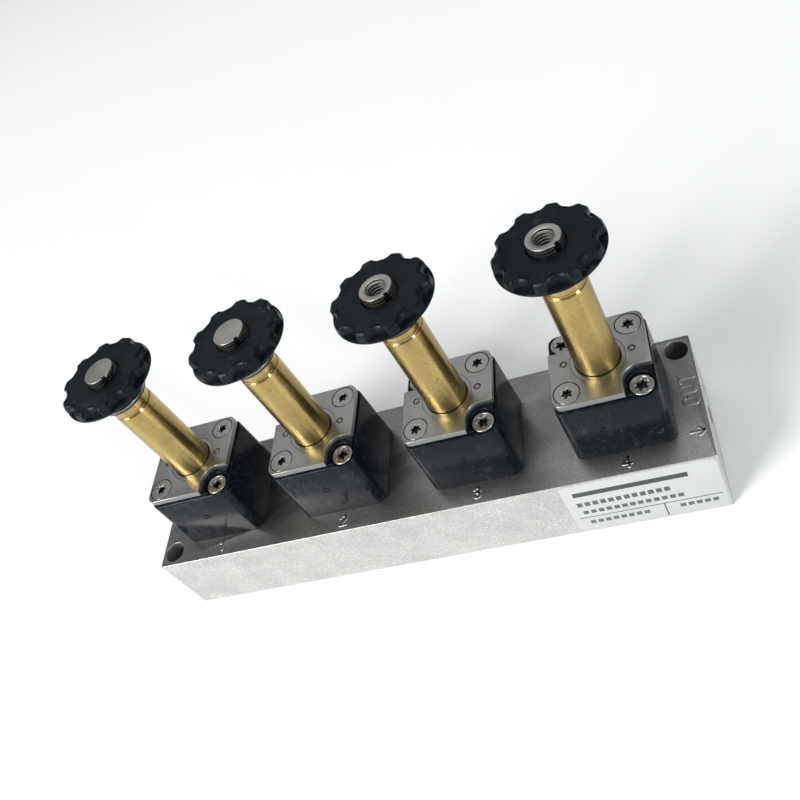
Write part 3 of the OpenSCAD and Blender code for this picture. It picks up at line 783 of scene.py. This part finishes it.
def buildBodyMark(station):
    # a moulded ring on the front face, not quite in the same place on each body
    b = bodyShape
    outer, inner, root, crest = *b["markRadii"], *b["markSpan"]
    ring = spin(softCorners([(inner, root, 0), (outer, root, 0), (outer, crest, 0.12), (inner, crest, 0.12)]),
                steps=40)
    front = -widthOf("valve_body_1") / 2 + b["topInset"] * b["markZ"] / spanOf("valve_body_1")[1]
    return moved(ring, x=b["markX"][station], y=front, z=b["markZ"], tilt=("X", 90))


def plateOutline(half, corner):
    # full corners at the front left and back right; the other two are cut away round the
    # cap screws, with a rounded inner corner
    p = plateShape
    x, y, fillet = p["notchX"], p["notchY"], p["notchFillet"]
    cut = [(x, -half), *arc((x + fillet, -y - fillet), fillet, 180, 90, 12), (half, -y)]
    side = arc((-half + corner, -half + corner), corner, 180, 270, 8) + cut
    return side + [(-x, -y) for x, y in side]


def buildPlate():
    p, s = plateShape, screwShape
    bottom, top = spanOf("retaining_plate_1")
    half = widthOf("retaining_plate_1") / 2
    plate = slab(plateOutline(half, p["corner"]), bottom, top, p["edge"])
    cutters = [holeCutter(p["hole"], bottom - 1, top, 0.04, 96)]
    stakes = []
    for side in (-1, 1):
        sink = spin([(0, bottom - 1), (s["shank"] + 0.2, bottom - 1),
                     (s["shank"] + 0.2, top - s["flatHead"] + s["shank"] + 0.1),
                     (s["flatHead"] + p["sinkGap"], top - 0.02),
                     (s["flatHead"] + p["sinkGap"] + 0.08, top + 1), (0, top + 1)], False, 72)
        cutters.append(moved(sink, side * s["flatXY"], side * s["flatXY"]))
        rim = p["stake"]
        groove = spin([(rim - 0.34, top - 0.7), (rim, top - 0.7), (rim + 0.14, top + 0.5),
                       (rim - 0.45, top + 0.5)], True, 40)
        cutters.append(moved(groove, side * p["stakeX"], p["stakeY"]))
        # the pin's end is spread by a five-pointed punch
        dome = spin([(0, top - 0.1), (0.7, top - 0.1), (0.62, top + 0.08), (0.42, top + 0.14),
                     (0, top - 0.05)], False, 40, lambda a, k, r, z: (r * (1 + 0.2 * math.cos(5 * a)), z))
        stakes.append(moved(dome, side * p["stakeX"], p["stakeY"]))
    return joined([carve(plate, cutters), *stakes])


def buildFlatScrew():
    s = screwShape
    top = spanOf("retaining_plate_1")[1]
    low = spanOf("plate_screws")[0]
    profile = softCorners([(0, low, 0), (s["shank"] * 0.7, low, 0), (s["shank"], low + 0.6, 0),
                           (s["shank"], top - s["flatHead"] + s["shank"], 0.2),
                           (s["flatHead"] - 0.05, top - 0.12, 0.1), (s["flatHead"] - 0.12, top - 0.01, 0.1),
                           (0, top - 0.01, 0)], closed=False)
    return carve(spin(profile, False, 72), [sixLobeCutter(s["flatLobe"], top - 1.2, top)])


def buildCapScrew():
    s = screwShape
    top = s["capTop"]
    low = spanOf("body_screws")[0]
    profile = softCorners([(0, low, 0), (s["shank"] * 0.7, low, 0), (s["shank"], low + 0.6, 0),
                           (s["shank"], top - s["capHeight"], 0), (s["capHead"], top - s["capHeight"], 0.1),
                           (s["capHead"], top, 0.45), (s["capDish"] + 0.1, top, 0.2),
                           (s["capDish"], top - 0.12, 0.1), (0, top - 0.12, 0)], closed=False)
    return carve(spin(profile, False, 72), [sixLobeCutter(s["capLobe"], top - 1.9, top - 0.12)])


collarShape = {"foot": 8.8, "bore": 6.55, "mouth": 6.76, "mouthDepth": 2.4}


def buildCollar():
    c = collarShape
    bottom, top = spanOf("tube_collars")
    shelf = spanOf("valve_body_1")[1]
    return spin(softCorners([
        (c["bore"], bottom, 0.1), (c["foot"], bottom, 0.2), (c["foot"], shelf, 0.1),
        (plateShape["collar"], shelf, 0), (plateShape["collar"], top, 0.04),
        (c["mouth"], top, 0.05), (c["mouth"], top - c["mouthDepth"], 0), (c["bore"], top - c["mouthDepth"], 0)
    ]))


bodyMesh, plateMesh = buildBody(), buildPlate()
flatScrew, capScrew = buildFlatScrew(), buildCapScrew()
for n in stations:
    at = axisOf(n)
    place(f"valveBody{n}", joined([bodyMesh.copy(), buildBodyMark(n)]), at, manifold,
          bodyPlastic, [f"valve_body_{n}"])
    place(f"retainingPlate{n}", plateMesh.copy(), at, manifold, plateNickel,
          [f"retaining_plate_{n}"])

# degrees that each screw's recess is turned, since no two stop alike
flatTurns = (12, -25, 40, 5, -12, 30, 18, -35)
capTurns = (35, -10, 20, 48, -28, 8, -44, 15)
flats, caps, collars = [], [], []
for k, n in enumerate(stations):
    x = (axisOf(n).x - axisOf(1).x) / mm
    for j, side in enumerate((-1, 1)):
        s, turn = screwShape, 2 * k + j
        flats.append(moved(flatScrew.copy(), x + side * s["flatXY"], side * s["flatXY"], 0, flatTurns[turn]))
        caps.append(moved(capScrew.copy(), x + side * s["capX"], -side * s["capY"], 0, capTurns[turn]))
    collars.append(moved(buildCollar(), x))
place("plateScrews", joined(flats), axisOf(1), manifold, screwSteel, ["plate_screws"])
place("bodyScrews", joined(caps), axisOf(1), manifold, capScrewSteel, ["body_screws"])
place("tubeCollars", joined(collars), axisOf(1), manifold, collarSteel, ["tube_collars"])
print("valve bodies, plates and screws built")


tubeShape = {
    "wall": 0.5, "crimpZ": 57.5, "crimpWidth": 2.0, "crimpDepth": 0.42, "mouth": 5.2, "shoulder": 0.4,
    "roll": 0.8, "dent": 0.05,
}
stemShape = {
    "core": 5.98, "foot": 43.9, "root": 4.42, "crest": 5.0, "pitch": 1.0, "tip": 4.72,
    "groove": (4.2, 5.0, 1.0), "passage": 1.0,
    "holeMajor": 3.0, "holeMinor": 2.5, "holeDepth": 9.0, "holeMouth": 3.23,
    "keyAngle": 312.0, "keyWidth": 1.2, "keyDepth": 0.62,
}
springShape = {"coil": 2.6, "wire": 0.25, "turns": 9, "bottom": 31.25, "sides": 10, "steps": 28}


def crimpLine(radius):
    # the rolled groove's outline, going up
    t, count = tubeShape, 12
    return [(radius - t["crimpDepth"] * (1 - math.cos(2 * math.pi * k / count)) / 2,
             t["crimpZ"] + t["crimpWidth"] * k / count) for k in range(count + 1)]


def buildTube(station):
    t = tubeShape
    radius = widthOf("armature_tube_1") / 2
    bore = radius - t["wall"]
    foot, top = spanOf("armature_tube_1")
    levels = [foot + 0.25 + (t["crimpZ"] - 1 - foot) * k / 24 for k in range(25)]
    outer = [(bore + 0.1, foot), (radius - 0.15, foot)]
    outer += [(radius, z) for z in levels if z < t["crimpZ"] - 0.3]
    outer += crimpLine(radius)
    outer += [(radius, t["crimpZ"] + t["crimpWidth"] + 0.5)]
    outer += arc((radius - t["roll"], top - t["roll"]), t["roll"], 0, 90, 6)
    inner = [(t["mouth"], top), (t["mouth"], top - t["shoulder"]), (bore, top - t["shoulder"])]
    inner += crimpLine(bore)[::-1] + [(bore, foot + 0.1)]
    outerCount = len(outer)

    def knocked(angle, k, r, z):
        # the rolled groove is uneven round the tube, and the band above it slightly oval
        if k < outerCount and z > t["crimpZ"] - 3:
            spot = Vector((math.cos(angle) * 1.4, math.sin(angle) * 1.4, z * 0.5 + station * 7))
            wave = noise.noise(spot) + 0.5 * noise.noise(spot * 2.7)
            fade = min(1.0, (z - t["crimpZ"] + 3) / 2, (top - z) / 1.0)
            r += t["dent"] * max(-1.0, min(0.0, wave - 0.1)) * fade * 1.6
        return r, z

    return spin(outer + inner, True, 128, knocked)


def buildCore(station):
    s, t = stemShape, tubeShape
    foot, top = spanOf("fixed_core_1")
    tubeTop = spanOf("armature_tube_1")[1]
    shoulder = tubeTop - t["shoulder"] - 0.05
    inner, outer, depth = s["groove"]
    profile = [(0, foot, 0), (inner, foot, 0), (inner, foot + depth, 0), (outer, foot + depth, 0),
               (outer, foot, 0), (s["core"], foot, 0.1)]
    profile += [(x, y, 0) for x, y in crimpLine(s["core"])]
    profile += [(s["core"], shoulder, 0.2), (s["root"], shoulder, 0), (s["root"], top - 0.9, 0),
                (s["crest"] - 0.1, top - 0.42, 0), (s["tip"], top, 0.14), (0, top, 0)]
    body = spin(softCorners(profile, closed=False), False)
    cutters = []
    if station in openStems:
        cutters.append(holeCutter(s["passage"], foot - 1, top - s["holeDepth"] - 0.9, 0.1))
        major, mouth, floor = s["holeMajor"], s["holeMouth"], top - s["holeDepth"]
        cutters.append(spin(softCorners([
            (0, floor - 1.4, 0), (major, floor, 0), (major, top - 0.12, 0.05),
            (mouth, top + 0.02, 0), (mouth, top + 1, 0), (0, top + 1, 0)], closed=False), False, 72))
    half = s["keyWidth"] / 2
    key = slab([(0, -half), (3, -half), (3, half), (0, half)], tubeTop + 0.5, top + 2, 0.05, steps=1)
    cutters.append(moved(moved(key, x=s["crest"] - s["keyDepth"]), turn=s["keyAngle"]))
    parts = [carve(body, cutters)]
    halfGap = math.degrees(half / s["crest"]) + 1
    turns = (top - tubeTop - 1.6) / s["pitch"]
    parts.append(thread(s["root"] - 0.05, s["crest"], s["pitch"], tubeTop + 0.7, turns,
                        (s["keyAngle"] - halfGap, s["keyAngle"] + halfGap), 72))
    if station in openStems:
        parts.append(thread(s["holeMajor"] + 0.04, s["holeMinor"], s["pitch"], top - s["holeDepth"] + 0.6,
                            s["holeDepth"] - 1.3, None, 60))
    return joined(parts)


def buildSpring():
    s = springShape
    top = stemShape["foot"] - s["wire"] - 0.03
    rings = []
    count = s["turns"] * s["steps"]
    for step in range(count + 1):
        a = 2 * math.pi * step / s["steps"]
        share = step / count
        # the end turns lie close together, as ground spring ends do
        eased = share + math.sin(2 * math.pi * share) / (2 * math.pi) * -0.35
        z = s["bottom"] + (top - s["bottom"]) * eased
        ring = []
        for k in range(s["sides"]):
            u = 2 * math.pi * k / s["sides"]
            reach = s["coil"] + s["wire"] * math.cos(u)
            ring.append((reach * math.cos(a), reach * math.sin(a), z + s["wire"] * math.sin(u)))
        rings.append(ring)
    return loft(rings)


for n in stations:
    at = axisOf(n)
    place(f"armatureTube{n}", buildTube(n), at, manifold, brass, [f"armature_tube_{n}"], 50)
    place(f"fixedCore{n}", buildCore(n), at, manifold, coreSteel, [f"fixed_core_{n}"], 35)
    spring = place(f"returnSpring{n}", buildSpring(), at, manifold, springSteel,
                   [f"return_spring_{n}"], 60)
    travel = next(j["range_m"][1] for j in frame["joints"] if j["name"] == f"armature_lift_{n}")
    length = (stemShape["foot"] - springShape["bottom"]) * mm
    1 - travel / length
    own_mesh(spring)
print("tubes, cores and springs built")


nutShape = {
    "flutes": 10, "fluteRadius": 4.2, "valley": 13.15, "lobe": 14.85, "blend": 0.55,
    "hub": 8.6, "hubTop": 66.4, "flangeFoot": 68.4, "ledge": 69.8, "face": 72.4,
    "faceEdge": 12.2, "bore": 5.05, "turns": {1: 18, 2: 0, 3: 18, 4: 25},
}


def fluted(angle):
    # radius of the grip: the lobe circle, dipping smoothly into each flute
    s = nutShape
    pitch = 2 * math.pi / s["flutes"]
    a = (angle + pitch / 2) % pitch - pitch / 2
    centre = s["valley"] + s["fluteRadius"]
    inside = s["fluteRadius"] ** 2 - (centre * math.sin(a)) ** 2
    if inside <= 0:
        return s["lobe"]
    dip = centre * math.cos(a) - math.sqrt(inside)
    mix = max(0.0, min(1.0, 0.5 + 0.5 * (s["lobe"] - dip) / s["blend"]))
    return s["lobe"] * (1 - mix) + dip * mix - s["blend"] * mix * (1 - mix)


def buildNut():
    s = nutShape
    bottom, top = spanOf("coil_nut_1")
    radius = widthOf("coil_nut_2") / 2
    fixed = softCorners([
        (s["bore"], bottom + 0.3, 0), (s["bore"] + 0.4, bottom, 0.1), (s["hub"], bottom, 0.4),
        (s["hub"], s["hubTop"], 0.9), (s["hub"] + 1.4, s["hubTop"] + 0.8, 0.6),
        (radius - 0.9, s["flangeFoot"], 0.5), (radius, s["flangeFoot"] + 0.8, 0.6),
        (radius, s["ledge"] - 0.05, 0.3), (radius - 0.35, s["ledge"], 0.1)], closed=False)
    # the grip's points are given as distances inside the fluted radius
    grip = softCorners([(-0.02, s["ledge"] + 0.02, 0), (0.0, s["ledge"] + 0.35, 0.25),
                        (0.16, top - 0.75, 0.3), (0.8, top, 0.35), (1.25, top, 0)], closed=False)
    dish, floor, bore = s["faceEdge"], s["face"], s["bore"]
    face = softCorners([
        (dish + 0.3, top, 0), (dish, top - 0.01, 0.2), (dish - 2.6, floor, 1.6),
        (bore + 0.75, floor - 0.06, 0.15), (bore + 0.35, floor - 0.12, 0.1), (bore, floor - 0.5, 0)],
        closed=False)
    start, end = len(fixed), len(fixed) + len(grip)

    def shaped(angle, k, r, z):
        return (fluted(angle) - r, z) if start <= k < end else (r, z)

    return spin(fixed + grip + face, True, 360, shaped)


def buildRing(node, inner, outer):
    # a flat ring under the nut; inner and outer are the fillets of its edges
    bottom, top = spanOf(node)
    bore, rim = nutShape["bore"], widthOf(node) / 2
    return spin(softCorners([(bore, bottom, inner), (rim, bottom, outer), (rim, top, outer),
                             (bore, top, inner)]))


nutMesh = buildNut()
for n in stations:
    at = axisOf(n)
    place(f"coilNut{n}", moved(nutMesh.copy(), turn=nutShape["turns"][n]), at, f"nut_body_{n}",
          nutPlastic, [f"coil_nut_{n}"], 42)
    place(f"nutWasher{n}", buildRing("nut_washer_1", 0.1, 0.3), at, f"washer_body_{n}",
          shadedWasherSteel, [f"nut_washer_{n}"])
    place(f"nutSeal{n}", buildRing("nut_seal_1", 0.2, 0.35), at, f"washer_body_{n}", rubber,
          [f"nut_seal_{n}"])
print("coil nuts built")

# inner pieces keep their CAD shape and get a finish
innerFinishes = {"base_gaskets": rubber, "valve_seats": seatBrass, "tube_o_rings": rubber,
                 "shading_rings": ringCopper}
for n in stations:
    innerFinishes[f"armature_{n}"] = armatureSteel
    innerFinishes[f"armature_seal_{n}"] = rubber
for node, finish in innerFinishes.items():
    piece = frame["nodes"][node]
    piece.data.materials.clear()
    piece.data.materials.append(finish)
for shape in (bodyMesh, plateMesh, flatScrew, capScrew, nutMesh):
    bpy.data.meshes.remove(shape)

studio = {
    "floor": (0.93, 0.935, 0.94), "floorSize": 5.0, "world": (0.93, 0.97, 1.0), "worldStrength": 0.27,
    "lights": {  # place, aim, size across and up, watts, colour
        "keyLeft": ((-1.65, -1.54, 1.50), (0.0, 0.0, 0.03), (1.0, 1.3), 76.0, (1.0, 0.995, 0.98)),
        "stripRight": ((1.20, -0.93, 0.63), (0.0, 0.0, 0.05), (0.12, 0.9), 10.0, (0.97, 0.99, 1.0)),
        "backPanel": ((-0.84, 1.72, 1.68), (0.0, 0.0, 0.03), (1.6, 1.2), 2.5, (0.98, 0.99, 1.0)),
        "overhead": ((0.15, 0.1, 2.4), (0.05, 0.1, 0.0), (2.2, 2.2), 17.0, (1.0, 1.0, 1.0)),
    },
}


def buildStudio():
    half = studio["floorSize"] / 2
    mesh = bpy.data.meshes.new("floor")
    corners = [(-half, -half, 0), (half, -half, 0), (half, half, 0), (-half, half, 0)]
    mesh.from_pydata(corners, [], [(0, 1, 2, 3)])
    floor = bpy.data.objects.new("floor", mesh)
    bpy.context.scene.collection.objects.link(floor)
    f = Finish("floorPaper", {"Roughness": 0.6})
    paper = f.noise(30, 3)
    shade = studio["floor"]
    floor.data.materials.append(f.done(colour=f.tint(paper, tuple(c * 0.985 for c in shade), shade)))
    world = bpy.data.worlds.new("studio")
    world.use_nodes = True
    sky = world.node_tree.nodes["Background"]
    sky.inputs["Color"].default_value = (*studio["world"], 1)
    sky.inputs["Strength"].default_value = studio["worldStrength"]
    bpy.context.scene.world = world
    for name, (spot, aim, size, watts, colour) in studio["lights"].items():
        lamp = bpy.data.lights.new(name, "AREA")
        lamp.shape, lamp.size, lamp.size_y = "RECTANGLE", *size
        lamp.energy, lamp.color = watts, colour
        light = bpy.data.objects.new(name, lamp)
        light.location = spot
        light.rotation_euler = (Vector(aim) - Vector(spot)).to_track_quat("-Z", "Y").to_euler()
        bpy.context.scene.collection.objects.link(light)


cameraShape = {
    "spot": (0.10492, -0.16485, 0.24348), "aim": (-0.02075, 0.09281, 0.0),
    "roll": -33.43, "lens": 39.65, "shiftY": -0.1,
}


def buildCamera():
    c = cameraShape
    data = bpy.data.cameras.new("camera")
    data.lens, data.sensor_width, data.shift_y = c["lens"], 36, c["shiftY"]
    data.clip_start, data.clip_end = 0.01, 20
    camera = bpy.data.objects.new("camera", data)
    camera.location = c["spot"]
    camera.rotation_mode = "QUATERNION"
    look = (Vector(c["aim"]) - Vector(c["spot"])).to_track_quat("-Z", "Y")
    camera.rotation_quaternion = look @ Matrix.Rotation(math.radians(c["roll"]), 4, "Z").to_quaternion()
    bpy.context.scene.collection.objects.link(camera)
    bpy.context.scene.camera = camera


buildStudio()
buildCamera()
bpy.context.scene.view_settings.view_transform = "Standard"
print("studio ready")
